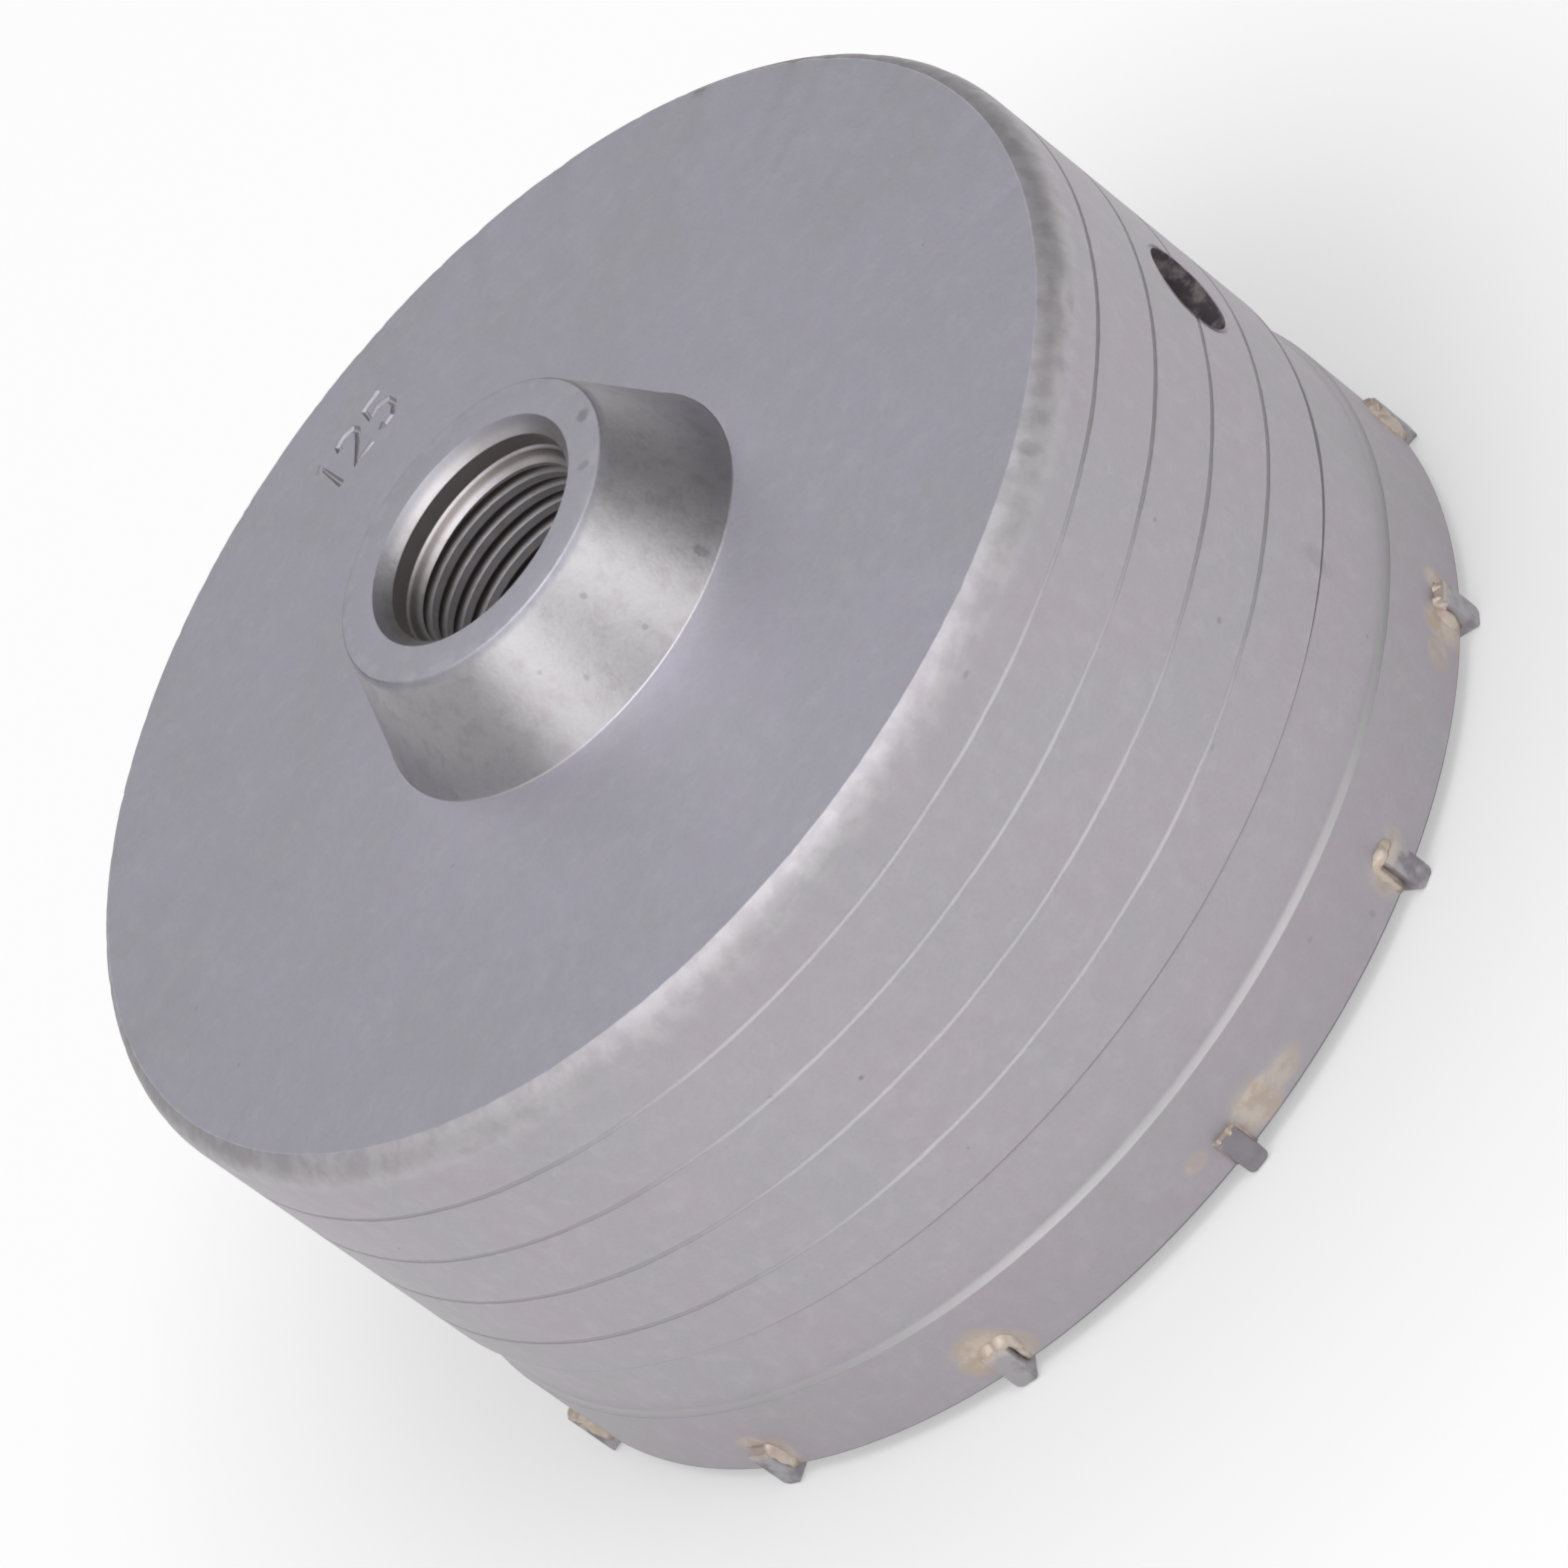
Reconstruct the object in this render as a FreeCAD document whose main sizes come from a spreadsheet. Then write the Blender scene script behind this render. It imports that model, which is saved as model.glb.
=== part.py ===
import FreeCAD, Part
import os
import Sketcher

# Concrete core bit, 125 mm: a turned steel cup with a threaded hub, and a ring of
# carbide tips brazed into notches in its rim. The bit stands on its tips, z = 0 is
# the plane where they touch the floor, and +Z runs up the axis through the hub.
# The first tip points along +X.

sizes = {
    # Cup
    "cutting_diameter": 125.0,       # over the outer faces of the tips
    "wall_thickness": 4.5,
    "cup_height": 57.5,              # rim to the flat top of the end plate
    "plate_thickness": 8.0,
    "shoulder_round": 2.5,           # outer corner between wall and end plate
    "inner_corner_bevel": 2.5,       # inner corner between wall and end plate
    "rim_chamfer": 0.3,
    # Turned relief round the wall, where the spiral groove runs out
    "relief_height": 10.6,           # rim to the lower edge of the relief
    "relief_width": 9.1,
    "relief_depth": 0.6,
    "relief_run_out": 1.1,           # length of its gentle upper slope
    # Right-hand spiral groove that lifts the dust up the wall
    "spiral_pitch": 7.85,
    "spiral_width": 0.8,
    "spiral_depth": 0.4,
    "spiral_lead": 2.1,              # lower edge of the relief to its start at the first tip
    # Tapered hub
    "hub_height": 11.8,
    "hub_base_diameter": 44.4,
    "hub_end_diameter": 33.2,
    "hub_edge_chamfer": 0.5,
    # Bore for the drive thread, M22 with a 2 mm pitch
    "thread_core_diameter": 20.0,    # tapping drill of the thread
    "mouth_diameter": 25.2,
    "counterbore_diameter": 22.5,
    "counterbore_depth": 3.1,        # hub end to the lead-in chamfer
    # Side hole for knocking out a stuck core
    "side_hole_diameter": 10.0,
    "side_hole_height": 35.6,        # rim to its centre
    "side_hole_angle": -10.5,        # from the first tip, anticlockwise seen from the hub
    # Carbide tips
    "tip_count": 13,
    "tip_stand": 1.5,                # below the rim
    "tip_width": 2.5,                # round the rim
    "tip_height": 5.5,               # along the axis
    "tip_proud": 1.0,                # out of the wall, on the outside
    "tip_inner_stand": 1.0,          # out of the wall, on the inside
    "tip_corner_bevel": 0.4,
    # Braze metal round each tip
    "braze_gap": 0.25,
    "braze_bead": 0.9,               # its spread over the outside of the wall
    "braze_set_back": 0.2,           # outer face of the tip to the top of the bead
}

document = FreeCAD.newDocument("core_bit")
sheet = document.addObject("Spreadsheet::Sheet", "Sizes")
for row, (alias, value) in enumerate(sizes.items(), start=1):
    sheet.set("A%d" % row, alias)
    sheet.set("B%d" % row, str(value))
    sheet.setAlias("B%d" % row, alias)
document.recompute()

# Radii and heights that several features share, worked out from the sheet
tip_outer = "Sizes.cutting_diameter / 2"
body_radius = "(Sizes.cutting_diameter / 2 - Sizes.tip_proud)"
inner_radius = "(Sizes.cutting_diameter / 2 - Sizes.tip_proud - Sizes.wall_thickness)"
rim = "Sizes.tip_stand"
plate_top = "(Sizes.tip_stand + Sizes.cup_height)"
plate_underside = "(Sizes.tip_stand + Sizes.cup_height - Sizes.plate_thickness)"
hub_end = "(Sizes.tip_stand + Sizes.cup_height + Sizes.hub_height)"
relief_low = "(Sizes.tip_stand + Sizes.relief_height)"
relief_high = "(Sizes.tip_stand + Sizes.relief_height + Sizes.relief_width)"
notch_half_width = "(Sizes.tip_width / 2 + Sizes.braze_gap)"
notch_top = "(Sizes.tip_height + Sizes.braze_gap)"
overrun = 1.0                        # how far a cut starts and ends outside the metal
rough = 10.0                         # where a sketch's points lie before they are tied


def on_plane(body, name, role):
    """A new sketch on one of the body's own origin planes."""
    sketch = body.newObject("Sketcher::SketchObject", name)
    plane = next(f for f in body.Origin.OriginFeatures if f.Role == role)
    sketch.AttachmentSupport = (plane, [""])
    sketch.MapMode = "FlatFace"
    return sketch


def place(sketch, edge, point, across, up):
    """Ties one sketch point to two expressions, or to an axis where one is 0."""
    for kind, axis, expression in (("DistanceX", -2, across), ("DistanceY", -1, up)):
        if expression == "0":
            sketch.addConstraint(Sketcher.Constraint("PointOnObject", edge, point, axis))
        else:
            index = sketch.addConstraint(Sketcher.Constraint(kind, -1, 1, edge, point, rough))
            sketch.setExpression("Constraints[%d]" % index, expression)


def outline(sketch, corners):
    """A closed outline of straight lines through corners given as expressions."""
    count = len(corners)
    start = [FreeCAD.Vector(rough, 0, 0), FreeCAD.Vector(0, rough, 0)]
    for edge in range(count):
        sketch.addGeometry(Part.LineSegment(start[edge % 2], start[(edge + 1) % 2]), False)
    for edge in range(count):
        sketch.addConstraint(Sketcher.Constraint("Coincident", edge, 2, (edge + 1) % count, 1))
    for edge, (across, up) in enumerate(corners):
        place(sketch, edge, 1, across, up)


def spin(body, kind, name, sketch):
    """A full turn of a sketch about the body's axis, adding or cutting metal."""
    feature = body.newObject("PartDesign::" + kind, name)
    feature.Profile = sketch
    feature.ReferenceAxis = (sketch, ["V_Axis"])
    feature.Angle = 360.0
    document.recompute()
    return feature


def cut_outwards(body, name, sketch):
    """A pocket from the axis out through one side of the wall."""
    before = body.Shape.Volume
    feature = body.newObject("PartDesign::Pocket", name)
    feature.Profile = sketch
    feature.Reversed = True
    feature.setExpression("Length", "%s + %s" % (body_radius, overrun))
    document.recompute()
    if body.Shape.Volume >= before:
        raise RuntimeError(name + " cut no metal")
    return feature


def ring_edges(feature, diameter, height):
    """Names of the circular edges of one diameter at one height."""
    names = []
    for number, edge in enumerate(feature.Shape.Edges, start=1):
        curve = edge.Curve
        if not isinstance(curve, Part.Circle):
            continue
        if abs(2 * curve.Radius - diameter) < 1e-4 and abs(curve.Center.z - height) < 1e-4:
            names.append("Edge%d" % number)
    if not names:
        raise RuntimeError("no round edge of %.1f mm at %.1f mm" % (diameter, height))
    return names


def dress(body, kind, name, feature, edges, parameter, expression):
    """A fillet or chamfer on named edges, sized from the sheet."""
    dressed = body.newObject("PartDesign::" + kind, name)
    dressed.Base = (feature, edges)
    dressed.setExpression(parameter, expression)
    document.recompute()
    return dressed


def core_cup():
    """The cup: wall, end plate and hub turned from one blank, then cut and notched."""
    body = document.addObject("PartDesign::Body", "core_cup")
    blank = on_plane(body, "cup_section", "XZ_Plane")
    outline(blank, [
        ("0", plate_underside),
        (inner_radius, plate_underside),
        (inner_radius, rim),
        (body_radius, rim),
        (body_radius, plate_top),
        ("Sizes.hub_base_diameter / 2", plate_top),
        ("Sizes.hub_end_diameter / 2", hub_end),
        ("0", hub_end),
    ])
    turned = spin(body, "Revolution", "turned_blank", blank)

    rim_height = sheet.get("tip_stand")
    top_height = rim_height + sheet.get("cup_height")
    end_height = top_height + sheet.get("hub_height")
    underside_height = top_height - sheet.get("plate_thickness")
    outside = sheet.get("cutting_diameter") - 2 * sheet.get("tip_proud")
    inside = outside - 2 * sheet.get("wall_thickness")

    edges = ring_edges(turned, outside, top_height)
    shoulder = dress(body, "Fillet", "shoulder", turned, edges, "Radius", "Sizes.shoulder_round")
    edges = ring_edges(shoulder, inside, underside_height)
    corner = dress(body, "Chamfer", "inner_corner", shoulder, edges, "Size",
                   "Sizes.inner_corner_bevel")
    edges = ring_edges(corner, sheet.get("hub_end_diameter"), end_height)
    hub_edge = dress(body, "Chamfer", "hub_edge", corner, edges, "Size", "Sizes.hub_edge_chamfer")
    edges = ring_edges(hub_edge, outside, rim_height) + ring_edges(hub_edge, inside, rim_height)
    dress(body, "Chamfer", "rim_edges", hub_edge, edges, "Size", "Sizes.rim_chamfer")

    bore = on_plane(body, "bore_section", "XZ_Plane")
    mouth_chamfer = "(Sizes.mouth_diameter - Sizes.counterbore_diameter) / 2"
    lead_in = "(Sizes.counterbore_diameter - Sizes.thread_core_diameter) / 2"
    outline(bore, [
        ("0", hub_end),
        ("Sizes.mouth_diameter / 2", hub_end),
        ("Sizes.counterbore_diameter / 2", hub_end + " - " + mouth_chamfer),
        ("Sizes.counterbore_diameter / 2", hub_end + " - Sizes.counterbore_depth"),
        ("Sizes.thread_core_diameter / 2", hub_end + " - Sizes.counterbore_depth - " + lead_in),
        ("Sizes.thread_core_diameter / 2", plate_underside),
        ("0", plate_underside),
    ])
    spin(body, "Groove", "threaded_bore", bore)

    relief = on_plane(body, "relief_section", "XZ_Plane")
    relief_floor = body_radius + " - Sizes.relief_depth"
    outline(relief, [
        (body_radius + " + Sizes.relief_depth", relief_low + " - Sizes.relief_depth"),
        (relief_floor, relief_low + " + Sizes.relief_depth"),
        (relief_floor, relief_high + " - Sizes.relief_run_out"),
        (body_radius + " + Sizes.relief_depth", relief_high + " + Sizes.relief_run_out"),
    ])
    spin(body, "Groove", "wall_relief", relief)

    hole = on_plane(body, "side_hole_section", "YZ_Plane")
    hole.AttachmentOffset = FreeCAD.Placement(FreeCAD.Vector(), FreeCAD.Rotation(FreeCAD.Vector(0, 1, 0), 1))
    hole.setExpression("AttachmentOffset.Rotation.Angle", "Sizes.side_hole_angle")
    hole.addGeometry(Part.Circle(FreeCAD.Vector(0, rough, 0), FreeCAD.Vector(0, 0, 1), rough), False)
    place(hole, 0, 3, "0", rim + " + Sizes.side_hole_height")
    width = hole.addConstraint(Sketcher.Constraint("Diameter", 0, rough))
    hole.setExpression("Constraints[%d]" % width, "Sizes.side_hole_diameter")
    cut_outwards(body, "side_hole", hole)

    notch = on_plane(body, "notch_section", "YZ_Plane")
    outline(notch, [
        ("-" + notch_half_width, rim + " - %s" % overrun),
        (notch_half_width, rim + " - %s" % overrun),
        (notch_half_width, notch_top),
        ("-" + notch_half_width, notch_top),
    ])
    first_notch = cut_outwards(body, "notch", notch)
    ring = body.newObject("PartDesign::PolarPattern", "notch_ring")
    ring.Originals = [first_notch]
    ring.Axis = (notch, ["V_Axis"])
    ring.Angle = 360.0
    ring.setExpression("Occurrences", "Sizes.tip_count")
    body.Tip = ring
    document.recompute()
    spiral_groove(body)
    return body


def spiral_groove(body):
    """A V groove that leaves the relief, climbs the wall and runs out over the shoulder."""
    start = "(%s + Sizes.spiral_lead)" % relief_low
    section = on_plane(body, "spiral_section", "XZ_Plane")
    outline(section, [
        (body_radius + " - Sizes.spiral_depth", start),
        (body_radius + " + Sizes.spiral_depth", start + " + Sizes.spiral_width"),
        (body_radius + " + Sizes.spiral_depth", start + " - Sizes.spiral_width"),
    ])
    document.recompute()
    before = body.Shape.Volume
    groove = body.newObject("PartDesign::SubtractiveHelix", "spiral_groove")
    groove.Profile = section
    groove.ReferenceAxis = (section, ["V_Axis"])
    groove.Mode = "pitch-height-angle"
    groove.setExpression("Pitch", "Sizes.spiral_pitch")
    groove.setExpression("Height", "%s - %s" % (plate_top, start))
    document.recompute()
    if body.Shape.Volume >= before:
        raise RuntimeError("the spiral groove cut no metal")


def turn_to(piece, number):
    """Turns a piece that was made along +X to its own place on the rim."""
    piece.Placement = FreeCAD.Placement(FreeCAD.Vector(), FreeCAD.Rotation(FreeCAD.Vector(0, 0, 1), 1))
    piece.setExpression("Placement.Rotation.Angle", "%d * 360 / Sizes.tip_count" % number)


def carbide_tip(number):
    """One carbide block, its lower corners bevelled, standing out on all three sides."""
    body = document.addObject("PartDesign::Body", "carbide_tip_%02d" % (number + 1))
    face = on_plane(body, body.Name + "_section", "YZ_Plane")
    outline(face, [
        ("-Sizes.tip_width / 2", "0"),
        ("Sizes.tip_width / 2", "0"),
        ("Sizes.tip_width / 2", "Sizes.tip_height"),
        ("-Sizes.tip_width / 2", "Sizes.tip_height"),
    ])
    face.AttachmentOffset = FreeCAD.Placement(FreeCAD.Vector(0, 0, 1), FreeCAD.Rotation())
    face.setExpression("AttachmentOffset.Base.z", inner_radius + " - Sizes.tip_inner_stand")
    block = body.newObject("PartDesign::Pad", body.Name + "_block")
    block.Profile = face
    block.setExpression("Length", "Sizes.tip_proud + Sizes.wall_thickness + Sizes.tip_inner_stand")
    document.recompute()
    lower = []
    for index, edge in enumerate(block.Shape.Edges, start=1):
        low_point = max(vertex.Z for vertex in edge.Vertexes)
        along = abs(edge.tangentAt(edge.FirstParameter).x)
        if low_point < 1e-6 and along > 0.9:
            lower.append("Edge%d" % index)
    dress(body, "Chamfer", body.Name + "_corners", block, lower, "Size", "Sizes.tip_corner_bevel")
    turn_to(body, number)
    return body


def braze_shape(cup, tip):
    """Braze metal at the first notch: it fills the gap and swells out over the wall."""
    base_half_width = notch_half_width + " + Sizes.braze_bead"
    base_top = notch_top + " + Sizes.braze_bead"
    edge_half_width = "Sizes.tip_width / 2 + Sizes.braze_gap / 2"
    root = document.addObject("Part::Box", "braze_root")
    root.setExpression("Length", "Sizes.wall_thickness")
    root.setExpression("Width", "2 * " + notch_half_width)
    root.setExpression("Height", "%s - %s" % (notch_top, rim))
    root.setExpression("Placement.Base.x", inner_radius)
    root.setExpression("Placement.Base.y", "-" + notch_half_width)
    root.setExpression("Placement.Base.z", rim)

    bead = document.addObject("Part::Wedge", "braze_bead")
    bead.Placement = FreeCAD.Placement(FreeCAD.Vector(), FreeCAD.Rotation(FreeCAD.Vector(0, 0, 1), -90))
    for side, half_width in (("X", base_half_width), ("X2", edge_half_width)):
        bead.setExpression(side + "min", "-(%s)" % half_width)
        bead.setExpression(side + "max", half_width)
    bead.setExpression("Ymin", body_radius + " - Sizes.rim_chamfer")
    bead.setExpression("Ymax", tip_outer + " - Sizes.braze_set_back")
    bead.setExpression("Zmin", rim)
    bead.setExpression("Z2min", rim)
    bead.setExpression("Zmax", base_top)
    bead.setExpression("Z2max", "Sizes.tip_height + Sizes.braze_gap / 2")

    melt = document.addObject("Part::Fuse", "braze_melt")
    melt.Base = root
    melt.Tool = bead
    off_cup = document.addObject("Part::Cut", "braze_off_cup")
    off_cup.Base = melt
    off_cup.Tool = cup
    shape = document.addObject("Part::Cut", "braze_shape")
    shape.Base = off_cup
    shape.Tool = tip
    document.recompute()
    return shape


def braze_seam(number, shape):
    """The braze round one tip, the same shape turned to its place."""
    body = document.addObject("PartDesign::Body", "braze_seam_%02d" % (number + 1))
    body.BaseFeature = shape
    turn_to(body, number)
    return body


cup = core_cup()
tip_numbers = range(int(sheet.get("tip_count")))
tips = [carbide_tip(number) for number in tip_numbers]
shared_braze = braze_shape(cup, tips[0])
seams = [braze_seam(number, shared_braze) for number in tip_numbers]
document.recompute()

parts = [cup] + tips + seams
for thing in document.Objects:
    if "Invalid" in thing.State or "Error" in thing.State:
        raise RuntimeError("%s did not build: %s" % (thing.Name, thing.State))
for part in parts:
    if part.Shape.isNull() or not part.Shape.isValid() or len(part.Shape.Solids) != 1:
        raise RuntimeError(part.Label + " is not one sound solid")

os.makedirs("parts", exist_ok=True)
for part in parts:
    part.Shape.exportStep("parts/%s.step" % part.Label)
    box = part.Shape.BoundBox
    print("%-16s %8.1f mm3   z %.2f to %.2f" % (part.Label, part.Shape.Volume, box.ZMin, box.ZMax))
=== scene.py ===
import bmesh
import bpy
import math
from mathutils import Matrix, Vector, noise


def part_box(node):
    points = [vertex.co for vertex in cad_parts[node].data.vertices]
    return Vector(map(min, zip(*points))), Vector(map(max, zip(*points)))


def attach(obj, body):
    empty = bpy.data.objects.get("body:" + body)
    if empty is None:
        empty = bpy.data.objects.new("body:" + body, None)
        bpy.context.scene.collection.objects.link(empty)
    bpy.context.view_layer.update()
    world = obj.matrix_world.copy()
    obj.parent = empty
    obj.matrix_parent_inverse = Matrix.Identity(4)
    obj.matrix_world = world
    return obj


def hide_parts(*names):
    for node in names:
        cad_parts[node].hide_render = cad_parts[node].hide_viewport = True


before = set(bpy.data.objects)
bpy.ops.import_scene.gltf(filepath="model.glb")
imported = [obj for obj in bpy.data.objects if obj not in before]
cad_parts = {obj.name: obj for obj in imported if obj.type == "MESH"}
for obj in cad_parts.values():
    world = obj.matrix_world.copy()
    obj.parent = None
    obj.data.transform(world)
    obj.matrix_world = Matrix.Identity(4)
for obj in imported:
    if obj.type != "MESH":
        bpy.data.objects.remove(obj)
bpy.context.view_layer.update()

mm = 0.001
cupLow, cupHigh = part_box("core_cup")
tipLow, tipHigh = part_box("carbide_tip_01")
wallRadius = (cupHigh.x - cupLow.x) / 2
rimHeight = cupLow.z
hubEnd = cupHigh.z
tiny = 1e-6
tipCount = len([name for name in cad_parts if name.startswith("carbide_tip")])


def smoothMesh(mesh, sharpAngle):
    # smooth except at its real edges
    for face in mesh.polygons:
        face.use_smooth = True
    mesh.set_sharp_from_angle(angle=math.radians(sharpAngle))


def finishMesh(name, bm, sharpAngle=30):
    mesh = bpy.data.meshes.new(name)
    bm.to_mesh(mesh)
    bm.free()
    smoothMesh(mesh, sharpAngle)
    piece = bpy.data.objects.new(name, mesh)
    bpy.context.scene.collection.objects.link(piece)
    return piece


def applyModifiers(piece, sharpAngle=30):
    # keeps the shape that the modifiers make and drops the modifiers
    bpy.context.view_layer.update()
    graph = bpy.context.evaluated_depsgraph_get()
    mesh = bpy.data.meshes.new_from_object(piece.evaluated_get(graph))
    piece.modifiers.clear()
    piece.data = mesh
    smoothMesh(mesh, sharpAngle)


def cutAway(piece, cutter, sharpAngle=30, crossing=False):
    # crossing is for a piece whose own shells run through each other
    cut = piece.modifiers.new("cut", "BOOLEAN")
    cut.operation = "DIFFERENCE"
    cut.solver = "EXACT"
    cut.use_self = crossing
    cut.object = cutter
    applyModifiers(piece, sharpAngle)


# The cup, in millimetres: heights are from the rim, towards the hub
cup = {
    "wall": 4.5,
    "height": 57.5,
    "plate": 8.0,
    "shoulderAcross": 1.85,
    "shoulderDown": 3.2,
    "shoulderArc": 60,
    "shoulderSteps": 9,
    "plateRing": 1.2,       # width of the plate's outermost ring of faces
    "innerBevel": 2.5,
    "rimChamfer": 0.3,
    # depth below the wall and height
    "relief": [(0.0, 10.33), (0.4, 10.95), (0.5, 11.3), (0.56, 11.9), (0.6, 12.8),
               (0.36, 19.28), (0.0, 19.66)],
    "hubBase": 22.2,
    "hubTop": 16.6,
    "hubEdge": 0.2,
    "hubEdgeSteps": 4,
    "hubLip": (0.12, 0.1),
    "mouth": 12.6,
    "counterbore": 11.25,
    "counterboreDepth": 3.1,
    "bore": 10.0,
    "turnSteps": 480,
    "sharpAngle": 20,
}
# Dents in the shoulder: broad ones and finer ones, where the noise rises over a quiet level
nick = {
    "depth": 0.25,
    "size": 1.1,
    "quiet": 0.18,
    "fineShare": 0.4,
    "finer": 2.7,
    "fineQuiet": 0.25,
    "reach": 0.9,           # share of the shoulder's height
    "inside": 0.1,          # how far over the plate
}
thread = {
    "pitch": 2.0,
    "major": 10.9,
    "rootFlat": 0.25,
    "flankAngle": 27,
    "rootHeight": 4.74,     # above the plate, where the camera looks at the far side of the bore
    "rootAzimuth": 99.5,
    "top": 9.6,             # above the plate
    "clear": 1.0,           # how far the cutter reaches inside the bore
    "turnSteps": 90,
}
# The groove: a long lower flank that faces the hub and a short upper one
spiral = {
    "pitch": 7.85,
    "above": 0.2,
    "below": 0.8,
    "depth": 0.25,
    "start": 12.7,
    "turnSteps": 120,
    "wobble": 0.12,
    "wobbleLength": 9,
    "wobbleOut": 0.06,
    "wobbleOutLength": 5,
}
sideHole = {
    "radius": 5.0,
    "height": 35.6,
    "azimuth": -10.5,
    "length": 16,
    "segments": 96,
}
notch = {
    "gap": 0.25,
    "past": 2,              # how far the cutter reaches past the wall on each side
}
tip = {
    "top": 3.95,
    "lowTop": {10: 3.5},    # the eleventh one ends lower
    "cornerRound": 0.7,
    "edgeRound": 0.14,
}


def tipTop(number):
    return tip["lowTop"].get(number, tip["top"])


def cupSection():
    # half of the cup's section, from the underside of the plate round to the bore: radius and height
    c = cup
    outer = wallRadius / mm
    inner = outer - c["wall"]
    end = (hubEnd - rimHeight) / mm
    underside = c["height"] - c["plate"]
    mouthDepth = c["mouth"] - c["counterbore"]
    leadIn = end - c["counterboreDepth"]
    section = [
        (c["bore"], underside),
        (inner - c["innerBevel"], underside),
        (inner, underside - c["innerBevel"]),
        (inner, c["rimChamfer"]),
        (inner + c["rimChamfer"], 0),
        (outer - c["rimChamfer"], 0),
        (outer, c["rimChamfer"]),
    ]
    section += [(outer - depth, height) for depth, height in c["relief"]]
    # the shoulder leaves the wall smoothly and meets the plate at an angle
    arc = math.radians(c["shoulderArc"])
    for step in range(c["shoulderSteps"] + 1):
        turn = arc * step / c["shoulderSteps"]
        across = c["shoulderAcross"] * (1 - math.cos(turn)) / (1 - math.cos(arc))
        down = c["shoulderDown"] * (1 - math.sin(turn) / math.sin(arc))
        section.append((outer - across, c["height"] - down))
    section += [
        (outer - c["shoulderAcross"] - c["plateRing"], c["height"]),
        (c["hubBase"] + c["hubLip"][0], c["height"]),
        (c["hubBase"], c["height"] + c["hubLip"][1]),
        (c["hubTop"], end),
        (c["mouth"], end),
        (c["counterbore"], end - mouthDepth),
        (c["counterbore"], leadIn),
        (c["bore"], leadIn - (c["counterbore"] - c["bore"])),
    ]
    return section, section.index((c["hubTop"], end))


def turnCup():
    bm = bmesh.new()
    section, hubCorner = cupSection()
    verts = [bm.verts.new((radius * mm, 0, rimHeight + height * mm)) for radius, height in section]
    for first, second in zip(verts, verts[1:] + verts[:1]):
        bm.edges.new((first, second))
    bmesh.ops.bevel(bm, geom=[verts[hubCorner]], offset=cup["hubEdge"] * mm, offset_type="OFFSET",
                    segments=cup["hubEdgeSteps"], profile=0.5, affect="VERTICES", material=-1)
    bmesh.ops.spin(bm, geom=bm.verts[:] + bm.edges[:], cent=(0, 0, 0), axis=(0, 0, 1),
                   angle=math.tau, steps=cup["turnSteps"], use_merge=True)
    bmesh.ops.remove_doubles(bm, verts=bm.verts[:], dist=tiny)
    bmesh.ops.recalc_face_normals(bm, faces=bm.faces[:])
    return bm


def nickShoulder(bm):
    # small dents knocked into the outer shoulder, at places that stay the same each run
    lowest = rimHeight + (cup["height"] - cup["shoulderDown"] * nick["reach"]) * mm
    innermost = wallRadius - (cup["shoulderAcross"] + nick["inside"]) * mm
    for vert in bm.verts:
        if vert.co.z < lowest or math.hypot(vert.co.x, vert.co.y) < innermost:
            continue
        place = Vector(vert.co) / (nick["size"] * mm)
        broad = max(0.0, noise.noise(place) - nick["quiet"])
        fine = max(0.0, noise.noise(place * nick["finer"]) - nick["fineQuiet"])
        vert.co -= vert.normal * (broad + nick["fineShare"] * fine) * nick["depth"] * mm


def helix(section, start, pitch, turns, turnSteps):
    # a section of (radius, height) points carried up a right-hand helix
    bm = bmesh.new()
    face = bm.faces.new([bm.verts.new((radius * mm, 0, height * mm)) for radius, height in section])
    bmesh.ops.rotate(bm, verts=bm.verts[:], cent=(0, 0, 0), matrix=Matrix.Rotation(start, 3, "Z"))
    steps = int(turns * turnSteps)
    bmesh.ops.spin(bm, geom=[face], cent=(0, 0, 0), axis=(0, 0, 1), angle=math.tau * turns,
                   dvec=(0, 0, pitch * mm * turns / steps), steps=steps)
    bmesh.ops.recalc_face_normals(bm, faces=bm.faces[:])
    return bm


def threadCutter():
    t = thread
    slope = math.tan(math.radians(t["flankAngle"]))
    inside = cup["bore"] - t["clear"]
    halfOpen = t["rootFlat"] / 2 + (t["major"] - inside) * slope
    # the root that the camera sees sits at rootHeight; the cutter starts under the plate
    low = rimHeight / mm + cup["height"] + t["rootHeight"]
    turnsBelow = math.ceil((cup["plate"] + t["rootHeight"]) / t["pitch"]) + 1
    low -= turnsBelow * t["pitch"]
    high = rimHeight / mm + cup["height"] + t["top"]
    section = [
        (inside, low - halfOpen),
        (t["major"], low - t["rootFlat"] / 2),
        (t["major"], low + t["rootFlat"] / 2),
        (inside, low + halfOpen),
    ]
    start = math.radians(t["rootAzimuth"])
    bm = helix(section, start, t["pitch"], (high - low) / t["pitch"], t["turnSteps"])
    return finishMesh("threadCutter", bm)


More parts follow.
